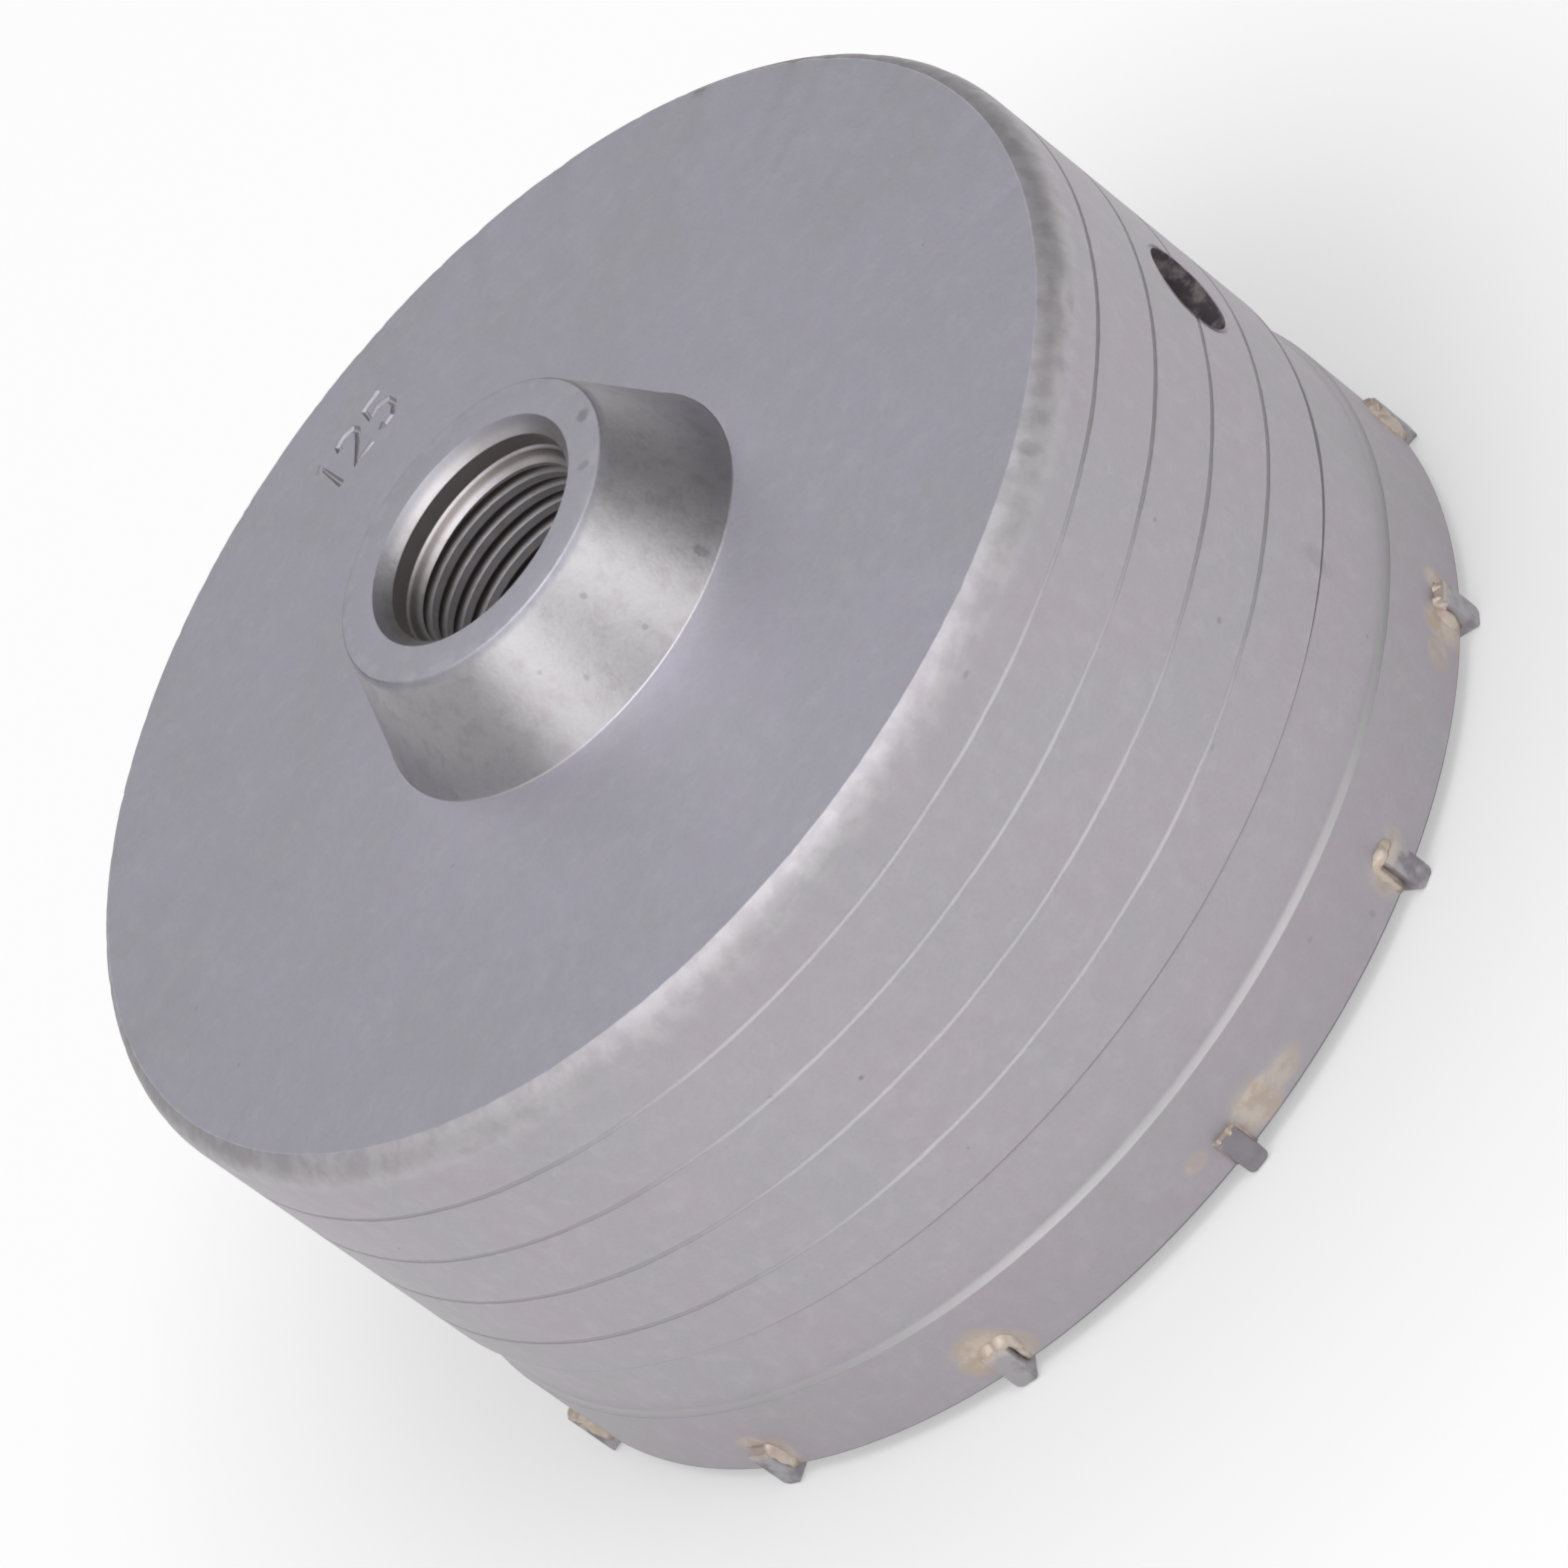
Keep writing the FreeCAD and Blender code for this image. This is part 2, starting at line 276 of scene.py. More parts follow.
def spiralCutter():
    s = spiral
    outer = wallRadius / mm
    low = rimHeight / mm + s["start"]
    top = rimHeight / mm + cup["height"]
    section = [
        (outer - s["depth"], low),
        (outer + s["depth"], low - s["below"]),
        (outer + s["depth"], low + s["above"]),
    ]
    bm = helix(section, 0.0, s["pitch"], (top - low) / s["pitch"], s["turnSteps"])
    # the line wanders a little up and down, in and out, as in the photo
    for vert in bm.verts:
        place = Vector((vert.co.x, vert.co.y, vert.co.z * 2)) / (s["wobbleLength"] * mm)
        vert.co.z += s["wobble"] * mm * noise.noise(place)
        place = Vector((vert.co.x, vert.co.y, vert.co.z * 3)) / (s["wobbleOutLength"] * mm)
        vert.co.xy *= 1 + s["wobbleOut"] * mm * noise.noise(place) / vert.co.xy.length
    return finishMesh("spiralCutter", bm)


def addBox(bm, low, high, azimuth):
    # a box given by its corners on the +X side, turned to its place round the axis
    size = Vector(high) - Vector(low)
    middle = Matrix.Translation((Vector(high) + Vector(low)) / 2)
    place = Matrix.Rotation(azimuth, 4, "Z") @ middle @ Matrix.Diagonal(size.to_4d())
    bmesh.ops.create_cube(bm, size=1, matrix=place)


def holeCutter():
    # the side hole and the notches for the tips
    bm = bmesh.new()
    turn = Matrix.Rotation(math.radians(sideHole["azimuth"]), 4, "Z")
    across = Matrix.Rotation(math.radians(90), 4, "Y")
    middle = Matrix.Translation((wallRadius, 0, rimHeight + sideHole["height"] * mm))
    radius = sideHole["radius"] * mm
    bmesh.ops.create_cone(bm, cap_ends=True, segments=sideHole["segments"], radius1=radius,
                          radius2=radius, depth=sideHole["length"] * mm, matrix=turn @ middle @ across)
    halfWidth = (tipHigh.y - tipLow.y) / 2 + notch["gap"] * mm
    inner = wallRadius - (cup["wall"] + notch["past"]) * mm
    outer = wallRadius + notch["past"] * mm
    for number in range(tipCount):
        top = rimHeight + (tipTop(number) + notch["gap"]) * mm
        addBox(bm, (inner, -halfWidth, 0), (outer, halfWidth, top), math.tau * number / tipCount)
    return finishMesh("holeCutter", bm)


# The plain number 125 stamped beside the hub: strokes as (across, outwards) points in millimetres
stamp = {
    "azimuth": 99.5,
    "radius": 48.9,
    "stroke": 0.46,
    "sink": 0.12,
    "roundSteps": 5,
    "strokes": {
        "one": [(-4.6, 2.0), (-3.9, 2.6), (-3.9, -2.8)],
        "two": [(-1.5, 1.4), (-1.2, 2.4), (-0.1, 2.6), (1.0, 2.2), (1.2, 1.2), (0.6, 0.0),
                (-1.5, -2.6), (1.3, -2.6)],
        "five": [(5.6, 2.6), (3.1, 2.6), (2.8, 0.6), (4.2, 0.9), (5.4, 0.2), (5.5, -1.3),
                 (4.6, -2.5), (3.2, -2.5), (2.8, -1.9)],
    },
}


def stampCutter():
    curve = bpy.data.curves.new("stampStrokes", "CURVE")
    curve.dimensions = "3D"
    curve.bevel_depth = stamp["stroke"] * mm
    curve.bevel_resolution = stamp["roundSteps"]
    curve.use_fill_caps = True
    for points in stamp["strokes"].values():
        spline = curve.splines.new("POLY")
        spline.points.add(len(points) - 1)
        for point, (across, outwards) in zip(spline.points, points):
            point.co = (across * mm, outwards * mm, 0, 1)
    strokes = bpy.data.objects.new("stampStrokes", curve)
    bpy.context.scene.collection.objects.link(strokes)
    bpy.context.view_layer.update()
    graph = bpy.context.evaluated_depsgraph_get()
    mesh = bpy.data.meshes.new_from_object(strokes.evaluated_get(graph))
    bpy.data.objects.remove(strokes)
    # the strokes are written on the +Y side of the plate
    turn = Matrix.Rotation(math.radians(stamp["azimuth"] - 90), 4, "Z")
    top = rimHeight + (cup["height"] + stamp["sink"]) * mm
    mesh.transform(turn @ Matrix.Translation((0, stamp["radius"] * mm, top)))
    cutter = bpy.data.objects.new("stampCutter", mesh)
    bpy.context.scene.collection.objects.link(cutter)
    return cutter


def buildCup():
    bm = turnCup()
    bm.normal_update()
    nickShoulder(bm)
    piece = finishMesh("coreCup", bm)
    for makeCutter in [holeCutter, threadCutter, spiralCutter, stampCutter]:
        cutter = makeCutter()
        cutAway(piece, cutter, cup["sharpAngle"])
        print("cup: cut by the", cutter.name)
        bpy.data.objects.remove(cutter)
    return piece


coreCup = buildCup()
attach(coreCup, "root")
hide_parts("core_cup")

# The carbide tips, ground a little unevenly: each one's shift across, lift, slant and lean in degrees
tipSets = [
    (0.1, 0.1, 0.1, 0.5),
    (-0.1, 0.2, -0.1, -0.8),
    (0.15, 0.0, 0.12, 1.0),
    (0.0, 0.25, -0.05, 0.2),
    (-0.15, 0.1, 0.14, -0.6),
    (0.1, 0.05, -0.12, 1.2),
    (0.0, 0.2, 0.06, -0.4),
    (0.1, 0.15, -0.1, 0.8),
    (-0.1, 0.0, 0.1, -1.0),
    (-0.2, 0.1, -0.08, 0.6),
    (-0.05, 0.12, 0.04, -0.3),
    (0.55, 0.0, -0.06, 1.4),
    (0.1, 0.0, 0.08, 0.6),
]


def buildTip(number):
    shift, lift, slant, lean = tipSets[number]
    bm = bmesh.new()
    high = Vector((tipHigh.x, tipHigh.y, rimHeight + tipTop(number) * mm))
    addBox(bm, tipLow, high, 0)
    # the lower edges that run out through the wall are worn round
    corners = [e for e in bm.edges
               if max(v.co.z for v in e.verts) < tipLow.z + tiny
               and abs(e.verts[0].co.x - e.verts[1].co.x) > mm]
    bmesh.ops.bevel(bm, geom=corners, offset=tip["cornerRound"] * mm, offset_type="OFFSET", segments=6,
                    profile=0.5, affect="EDGES", material=-1)
    outer = [e for e in bm.edges if min(v.co.x for v in e.verts) > high.x - tiny]
    bmesh.ops.bevel(bm, geom=outer, offset=tip["edgeRound"] * mm, offset_type="OFFSET", segments=2,
                    profile=0.5, affect="EDGES", material=-1)
    for vert in bm.verts:
        low = (high.z - vert.co.z) / (high.z - tipLow.z)
        vert.co.z += low * (lift * mm + slant * (vert.co.y + math.copysign(high.y, slant)) / 2)
        vert.co.y += shift * mm
    turn = Matrix.Rotation(math.radians(lean), 3, "Z")
    bmesh.ops.rotate(bm, verts=bm.verts[:], cent=(wallRadius, 0, 0), matrix=turn)
    bmesh.ops.rotate(bm, verts=bm.verts[:], cent=(0, 0, 0),
                     matrix=Matrix.Rotation(math.tau * number / tipCount, 3, "Z"))
    return finishMesh("carbideTip%02d" % (number + 1), bm)


# Beads of braze metal at a tip, in millimetres: across the tip, up from the rim, half width,
# half height and rise over the wall
beads = {
    "cap": [(-0.1, 4.15, 1.3, 0.7, 0.95), (0.9, 4.1, 0.9, 0.55, 0.8)],
    "left": [(-1.45, 2.6, 0.6, 1.8, 0.5), (-1.4, 0.9, 0.5, 1.0, 0.4)],
    "right": [(1.75, 2.6, 0.7, 1.9, 0.75), (1.7, 0.9, 0.6, 1.0, 0.6)],
    "corners": [(-0.9, 4.0, 0.5, 0.36, 0.9), (0.6, 4.0, 0.6, 0.4, 0.95)],
    "lowCorners": [(-0.85, 3.4, 0.32, 0.26, 1.0), (0.45, 3.45, 0.48, 0.3, 1.02)],
    "thinLeft": [(-1.45, 2.0, 0.4, 2.2, 0.4)],
    "thinRight": [(1.45, 2.0, 0.4, 2.2, 0.4)],
    "overTop": [(-1.3, 2.7, 0.7, 1.2, 0.9), (-0.6, 3.6, 1.05, 1.0, 1.2),
                (0.8, 3.9, 1.1, 0.8, 1.05), (1.65, 3.0, 0.6, 1.3, 0.6)],
    "overRight": [(0.9, 3.3, 0.8, 0.9, 0.95), (1.35, 2.2, 0.65, 1.7, 0.8),
                  (1.5, 0.9, 0.6, 0.9, 0.6)],
    "flatLeft": [(-1.7, 2.1, 1.0, 2.0, 0.5), (-0.9, 3.2, 0.5, 0.6, 1.0)],
    "overLeft": [(-0.9, 3.2, 0.8, 0.9, 1.15), (-1.6, 2.2, 0.8, 1.8, 1.0),
                 (-1.8, 0.8, 0.6, 0.9, 0.7)],
}
# Which beads each tip has, from the first to the thirteenth
beadPlaces = [
    ["cap", "overLeft", "thinRight"],
    ["corners", "thinLeft", "right"],
    ["cap", "left", "right"],
    ["overTop", "thinLeft"],
    ["corners", "left", "thinRight"],
    ["cap", "thinLeft", "overRight"],
    ["corners", "thinLeft", "thinRight"],
    ["cap", "overLeft", "overRight"],
    ["overRight", "thinLeft"],
    ["overTop", "thinLeft", "thinRight"],
    ["lowCorners"],
    ["cap", "left"],
    ["flatLeft", "corners"],
]
braze = {
    "voxel": 0.13,
    "sink": 0.22,           # how far the beads go on under the wall's face
    "under": 0.5,           # depth of their centres
    "spread": 1.08,
    "smoothRounds": 3,
    "lump": 0.12,
    "lumpSize": 0.9,
    "seedStep": 17,
    "reach": 0.98,          # share of the tip's stand-out that a bead may have
    "seamSink": 0.1,
    "sharpAngle": 50,
}


def meltBeads(number):
    # the beads flow into one lump on the wall, cut flat where they meet it
    bm = bmesh.new()
    for kind in beadPlaces[number]:
        for across, up, halfWidth, halfHeight, rise in beads[kind]:
            place = Matrix.Translation((wallRadius / mm - braze["under"], across, rimHeight / mm + up))
            spread = braze["spread"]
            shape = Matrix.Diagonal((rise + braze["under"], halfWidth * spread, halfHeight * spread, 1))
            bmesh.ops.create_icosphere(bm, subdivisions=3, radius=1, matrix=place @ shape)
    melt = finishMesh("brazeMelt", bm)
    remesh = melt.modifiers.new("melt", "REMESH")
    remesh.mode = "VOXEL"
    remesh.voxel_size = braze["voxel"]
    applyModifiers(melt)
    bm = bmesh.new()
    bm.from_mesh(melt.data)
    bpy.data.objects.remove(melt)
    for smoothing in range(braze["smoothRounds"]):
        bmesh.ops.smooth_vert(bm, verts=bm.verts[:], factor=0.5, use_axis_x=True, use_axis_y=True,
                              use_axis_z=True)
    bm.normal_update()
    limit = tipHigh.x / mm * braze["reach"] + wallRadius / mm * (1 - braze["reach"])
    for vert in bm.verts:
        lump = noise.noise(vert.co / braze["lumpSize"] + Vector((0, 0, braze["seedStep"] * number)))
        vert.co += vert.normal * braze["lump"] * lump
        vert.co.x = min(vert.co.x, limit)
    flat = bmesh.ops.bisect_plane(bm, geom=bm.verts[:] + bm.edges[:] + bm.faces[:],
                                  plane_co=(wallRadius / mm - braze["sink"], 0, 0), plane_no=(1, 0, 0),
                                  clear_inner=True)
    cutEdges = [e for e in flat["geom_cut"] if isinstance(e, bmesh.types.BMEdge)]
    bmesh.ops.holes_fill(bm, edges=cutEdges)
    return bm


def buildBraze(number, tipPiece):
    bm = meltBeads(number)
    bmesh.ops.transform(bm, verts=bm.verts[:], matrix=Matrix.Scale(mm, 4))
    # the metal that fills the gap between the tip and its notch, right through the wall
    halfWidth = (tipHigh.y - tipLow.y) / 2 + notch["gap"] * mm
    inner = wallRadius - cup["wall"] * mm
    outer = wallRadius - braze["seamSink"] * mm
    top = rimHeight + (tipTop(number) + notch["gap"]) * mm
    addBox(bm, (inner, -halfWidth, rimHeight), (outer, halfWidth, top), 0)
    bmesh.ops.rotate(bm, verts=bm.verts[:], cent=(0, 0, 0),
                     matrix=Matrix.Rotation(math.tau * number / tipCount, 3, "Z"))
    piece = finishMesh("brazeSeam%02d" % (number + 1), bm, braze["sharpAngle"])
    cutAway(piece, tipPiece, braze["sharpAngle"], crossing=True)
    return piece


tips = []
seams = []
for number in range(tipCount):
    tips.append(buildTip(number))
    seams.append(buildBraze(number, tips[number]))
    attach(tips[number], "root")
    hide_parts("carbide_tip_%02d" % (number + 1))
    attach(seams[number], "root")
    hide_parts("braze_seam_%02d" % (number + 1))
print("tips:", len(tips), "brazed in")


class Field:
    # a value that changes over a surface; sums on it add Math nodes
    def __init__(self, finish, socket):
        self.finish = finish
        self.socket = socket

    def calc(self, operation, *values):
        return self.finish.node("ShaderNodeMath", {"operation": operation}, dict(enumerate(values)))

    def __add__(self, other):
        return self.calc("ADD", self, other)

    __radd__ = __add__

    def __sub__(self, other):
        return self.calc("SUBTRACT", self, other)

    def __rsub__(self, other):
        return self.calc("SUBTRACT", other, self)

    def __mul__(self, other):
        return self.calc("MULTIPLY", self, other)

    __rmul__ = __mul__

    def atLeast(self, other):
        return self.calc("MAXIMUM", self, other)

    def atMost(self, other):
        return self.calc("MINIMUM", self, other)

    def rise(self, low, high, least=0.0, most=1.0):
        # least below low, most above high, smooth between; low above high turns it round
        if low > high:
            low, high, least, most = high, low, most, least
        return self.finish.node("ShaderNodeMapRange", {"interpolation_type": "SMOOTHSTEP"},
                                {0: self, 1: low, 2: high, 3: least, 4: most})

    def between(self, start, full, fade, end):
        # 1 from full to fade, 0 outside start and end
        return self.rise(start, full) * self.rise(end, fade)


class Finish:
    # a material whose nodes are added one by one
    def __init__(self, name, slot=None):
        self.material = bpy.data.materials.new(name)
        self.material.use_nodes = True
        self.tree = self.material.node_tree
        self.slot = slot
        self.shader = self.tree.nodes["Principled BSDF"]
        place = self.tree.nodes.new("ShaderNodeTexCoord").outputs["Object"]
        self.place = self.node("ShaderNodeVectorMath", {"operation": "SCALE"}, {0: place, 3: 1 / mm})

    def node(self, kind, settings=None, values=None, output=0):
        node = self.tree.nodes.new(kind)
        for key, value in (settings or {}).items():
            setattr(node, key, value)
        for key, value in (values or {}).items():
            self.feed(node.inputs[key], value)
        return Field(self, node.outputs[output])

    def feed(self, socket, value):
        if isinstance(value, Field):
            value = value.socket
        if isinstance(value, bpy.types.NodeSocket):
            self.tree.links.new(value, socket)
        elif isinstance(value, (tuple, list)) and socket.type == "RGBA":
            socket.default_value = (*value, 1)
        else:
            socket.default_value = value

    def axes(self, place=None):
        split = self.tree.nodes.new("ShaderNodeSeparateXYZ")
        self.feed(split.inputs[0], place or self.place)
        return [Field(self, split.outputs[axis]) for axis in range(3)]

    def noise(self, scale, detail=2.0, rough=0.5, at=None):
        values = {"Vector": at or self.place, "Scale": scale, "Detail": detail, "Roughness": rough}
        return self.node("ShaderNodeTexNoise", {}, values)

    def stretched(self, scale):
        return self.node("ShaderNodeMapping", {}, {"Vector": self.place, "Scale": scale})

    def length(self, vector):
        return self.node("ShaderNodeVectorMath", {"operation": "LENGTH"}, {0: vector}, 1)

    def mix(self, amount, first, second):
        return self.node("ShaderNodeMix", {"data_type": "RGBA"}, {0: amount, 6: first, 7: second}, 2)

    def bump(self, height, distance):
        values = {"Height": height, "Strength": 1.0, "Distance": distance * mm}
        return self.node("ShaderNodeBump", {}, values)

    def shade(self, **values):
        names = {"colour": "Base Color", "rough": "Roughness", "metal": "Metallic", "normal": "Normal"}
        for key, value in values.items():
            self.feed(self.shader.inputs[names[key]], value)

    def on(self, piece):
        piece.data.materials.clear()
        piece.data.materials.append(self.material)


steel = {
    "wall": (0.515, 0.48, 0.521),
    "plate": (0.518, 0.504, 0.576),
    "cool": (0.48, 0.49, 0.50),
    "wearAndSheen": (0.75, 0.73, 0.75),
    "speck": (0.16, 0.16, 0.18),
    "grimeAndShade": (0.20, 0.175, 0.165),
    "rubbed": (0.42, 0.36, 0.36),
    "rust": (0.13, 0.115, 0.125),
    "scale": (0.40, 0.345, 0.35),
    "rough": 0.56,
}
# Places on the steel, up from the rim in millimetres: where each one starts and is full, and,
# where it ends again, fades and ends
places = {
    "rimBand": (10.0, 11.5),
    "ledge": (10.3, 10.4, 10.8, 11.3),
    "reliefTop": (19.2, 19.4, 19.65, 19.8),
    "groove": (19.9, 20.3, 54.1, 54.3),
    "shoulder": (53.0, 56.0),
    "burntEdge": (0.42, 0.3),
    "bore": (38.5, 42.5),
}

# Flux burnt on to the wall beside the tips: tip, across it, up from the rim, half width,
# half height and strength
fluxStains = [
    (11, 3.9, 2.6, 3.6, 2.5, 0.62),
    (11, 4.2, 3.8, 3.4, 0.9, 0.75),
    (11, 7.6, 2.6, 3.2, 1.8, 0.5),
    (11, -3.7, 3.8, 1.5, 1.0, 0.4),
    (10, -0.9, 3.9, 3.3, 2.8, 0.8),
    (10, 1.9, 2.4, 1.5, 2.3, 0.5),
    (12, -1.6, 2.6, 1.7, 2.8, 0.45),
    (12, 2.3, 3.4, 1.2, 1.7, 0.3),
    (13, -3.0, 2.8, 2.5, 2.9, 0.75),
    (13, -6.6, 3.2, 2.0, 1.5, 0.45),
    (13, 1.9, 4.0, 1.6, 1.6, 0.6),
    (9, -0.2, 4.7, 2.2, 1.3, 0.6),
    (9, 2.0, 2.6, 1.6, 2.6, 0.5),
    (1, -1.6, 3.2, 2.4, 3.0, 0.7),
    (8, 0.8, 3.4, 3.0, 2.6, 0.7),
    (2, 2.2, 2.8, 2.6, 2.9, 0.7),
    (3, -2.0, 3.6, 2.2, 2.6, 0.6),
    (4, 0.2, 3.8, 3.2, 2.6, 0.7),
    (5, 2.8, 3.0, 2.2, 3.0, 0.7),
    (6, -2.6, 3.2, 2.8, 2.8, 0.7),
    (7, 0.8, 4.0, 3.2, 2.2, 0.6),
]
flux = {
    "pale": (0.76, 0.66, 0.55),
    "burnt": (0.60, 0.48, 0.37),
}

# Dark specks and smears: azimuth in degrees, radius, up from the rim, half width, half height
# and strength
marks = [
    (-65.4, 61.5, 54.1, 0.5, 0.3, 0.35),
    (-42.7, 61.5, 41.0, 0.3, 0.25, 0.3),
    (-46.9, 61.5, 30.7, 0.35, 0.3, 0.35),
    (-57.1, 61.5, 26.5, 0.4, 0.2, 0.25),
    (-60.1, 61.5, 2.3, 0.35, 0.4, 0.2),
    (-65.4, 61.5, 7.3, 0.35, 0.25, 0.2),
    (-34.1, 61.5, 20.1, 1.2, 2.6, 0.14),
    (-76.2, 18.2, 65.9, 0.3, 0.35, 0.3),
    (-73.6, 20.9, 60.3, 0.3, 0.3, 0.3),
    (-49.3, 21.6, 59.0, 0.6, 1.0, 0.35),
    (-46.6, 18.0, 66.3, 1.6, 1.6, 0.12),
    (-93.0, 20.2, 61.5, 0.25, 0.3, 0.25),
    (-101.0, 18.8, 64.5, 0.25, 0.25, 0.25),
    (-6.0, 15.2, 69.3, 0.9, 1.0, 0.4),
    (-32.0, 14.6, 69.3, 0.6, 1.0, 0.3),
]


def oval(finish, azimuth, radius, across, up, halfWidth, halfHeight, ragged):
    # 1 inside an oval at a place round the axis, with a ragged edge, 0 outside
    place = Matrix.Rotation(azimuth, 3, "Z") @ Vector((radius, across, rimHeight / mm + up))
    # a wide one reaches deeper, because the wall bends away under it
    depth = 0.8 + across * across / 40
    values = {"Vector": finish.place, "Location": place, "Rotation": (0, 0, azimuth),
              "Scale": (depth, halfWidth, halfHeight)}
    local = finish.node("ShaderNodeMapping", {"vector_type": "TEXTURE"}, values)
    return (finish.length(local) + ragged).rise(1.25, 0.55)


def strongest(fields):
    # the greatest of several fields at each place
    result = fields[0]
    for field in fields[1:]:
        result = result.atLeast(field)
    return result


def fluxStain(finish, ragged):
    stains = []
    for number, across, up, halfWidth, halfHeight, strength in fluxStains:
        azimuth = math.tau * (number - 1) / tipCount
        stain = oval(finish, azimuth, wallRadius / mm, across, up, halfWidth, halfHeight, ragged)
        stains.append(stain * strength)
    return strongest(stains)


def darkMarks(finish, ragged):
    found = []
    for azimuth, radius, up, halfWidth, halfHeight, strength in marks:
        mark = oval(finish, math.radians(azimuth), radius, 0, up, halfWidth, halfHeight, ragged)
        found.append(mark * strength)
    return strongest(found)


def insideHole(finish):
    # 1 on the wall of the side hole
    side = math.radians(sideHole["azimuth"])
    middle = (wallRadius / mm - cup["wall"] / 2, 0, rimHeight / mm + sideHole["height"])
    across = sideHole["radius"] + 0.3
    values = {"Vector": finish.place, "Location": Matrix.Rotation(side, 3, "Z") @ Vector(middle),
              "Rotation": (0, 0, side), "Scale": (cup["wall"] / 2 - 0.1, across, across)}
    local = finish.node("ShaderNodeMapping", {"vector_type": "TEXTURE"}, values)
    reach = finish.node("ShaderNodeVectorMath", {"operation": "ABSOLUTE"}, {0: local})
    through, sideways, upright = finish.axes(reach)
    return through.rise(1.05, 0.95) * (sideways * sideways + upright * upright).rise(1.12, 1.0)


def blastedSteel():
    finish = Finish("blastedSteel", "cup_steel")
    z = finish.axes()[2]
    flat = finish.node("ShaderNodeVectorMath", {"operation": "MULTIPLY"}, {0: finish.place, 1: (1, 1, 0)})
    radius = finish.length(flat)
    rim = rimHeight / mm
    outer = wallRadius / mm
    plateTop = rim + cup["height"]
    top = hubEnd / mm
    heights = {name: [rim + height for height in values] for name, values in places.items()}

    # the wall, the bluer plate, the hub cone painted lighter, partly for its turned finish and partly as a
    # painted highlight, and blotches on all of them
    grain = finish.noise(2.4, 4.0, 0.62)
    patch = finish.noise(0.45, 3.0, 0.6)
    blotch = finish.noise(0.08, 3.0, 0.5)
    cone = radius.rise(cup["hubBase"] + 0.3, cup["hubBase"] - 0.1) * z.rise(top - 0.3, top - 1.0)
    onPlate = z.rise(plateTop - 0.25, plateTop - 0.05) * radius.rise(outer - 1.7, outer - 1.9) * (1 - cone)
    colour = finish.mix(onPlate, steel["wall"], steel["plate"])
    colour = finish.mix(blotch.rise(0.38, 0.62) * 0.3, colour, steel["cool"])
    colour = finish.mix(patch.rise(0.45, 0.75) * 0.12, colour, steel["wearAndSheen"])
    # the hub cone is painted lighter: partly its turned finish, partly a painted highlight
    colour = finish.mix(cone * 0.7, colour, steel["wearAndSheen"])
    colour = finish.mix(patch.rise(0.50, 0.34) * cone * 0.22, colour, steel["rubbed"])
    streak = finish.noise(1.2, 2.0, 0.5, finish.stretched((0.5, 0.5, 0.12)))
    colour = finish.mix(streak.rise(0.45, 0.7) * 0.06, colour, steel["rubbed"])
    colour = finish.mix(grain.rise(0.60, 0.30) * 0.08, colour, steel["speck"])
    # grime darkens the band next to the rim, and the line under the relief's upper step is painted shade
    bandLow, bandHigh = heights["rimBand"]
    grimeAndStepShade = z.rise(bandHigh, bandLow) + z.between(*heights["reliefTop"]) * 3.0
    colour = finish.mix(grimeAndStepShade * 0.08, colour, steel["grimeAndShade"])

    # pits and specks of dark scale
    dotPlace = {"Vector": finish.place, "Scale": 0.14}
    dots = finish.node("ShaderNodeTexVoronoi", {"feature": "F1"}, dotPlace)
    cell = finish.node("ShaderNodeTexVoronoi", {"feature": "F1"}, dotPlace, 1)
    pick = finish.node("ShaderNodeSeparateColor", {}, {0: cell})
    speck = (dots + patch * 0.05 + grain * 0.03).rise(0.085, 0.06) * pick.rise(0.35, 0.9)
    colour = finish.mix(speck * 0.5, colour, steel["speck"])
    colour = finish.mix(darkMarks(finish, (grain - 0.5) * 0.8), colour, steel["speck"])

    # the shoulder's edge and the hub's end are rubbed brighter; the shoulder's edge also carries a painted
    # highlight, and the relief's ledge and the groove are painted lighter as painted highlights
    # painted highlight in the groove
    groove = radius.between(outer - 0.5, outer - 0.4, outer - 0.08, outer - 0.02)
    groove = groove * z.between(*heights["groove"])
    # painted highlight on the relief's ledge
    ledge = z.between(*heights["ledge"]) * radius.rise(outer - 0.7, outer - 0.6)
    nearEdge = z.rise(*heights["shoulder"]) * radius.rise(outer - 2.0, outer - 1.9)
    hubRim = z.rise(top - 1.1, top - 0.6) * radius.rise(cup["hubTop"] - 1.6, cup["hubTop"] - 0.8)
    edgeWearAndHighlight = nearEdge * (0.5 + 0.5 * patch.rise(0.35, 0.62)) * 0.9
    wearAndHighlight = strongest([edgeWearAndHighlight, hubRim * patch.rise(0.4, 0.55) * 0.2, groove, ledge])
    colour = finish.mix(wearAndHighlight * 0.6, colour, steel["wearAndSheen"])

    # the rim's sharp lower edge is burnt dark
    colour = finish.mix(z.rise(*heights["burntEdge"]) * 0.8, colour, steel["speck"])

    # the bore is machined clean but holds grime between the threads; the counterbore's wall is darkened as
    # painted shade
    inBore = radius.rise(cup["mouth"] + 0.2, cup["mouth"] - 0.1) * z.rise(*heights["bore"])
    root = radius.between(cup["bore"] + 0.25, cup["bore"] + 0.7, thread["major"], thread["major"] + 0.2)
    # painted shade on the counterbore's wall
    mouthWall = cup["counterbore"]
    mouth = radius.between(mouthWall - 0.06, mouthWall - 0.03, mouthWall + 0.03, mouthWall + 0.06)
    for place, strength in [(inBore, 0.25), (inBore * root, 0.85), (inBore * mouth, 0.6)]:
        colour = finish.mix(place * strength, colour, steel["grimeAndShade"])

    # the side hole was never blasted
    inHole = insideHole(finish)
    holeColour = finish.mix(patch.rise(0.45, 0.68), steel["rust"], steel["scale"])
    colour = finish.mix(inHole, colour, holeColour)

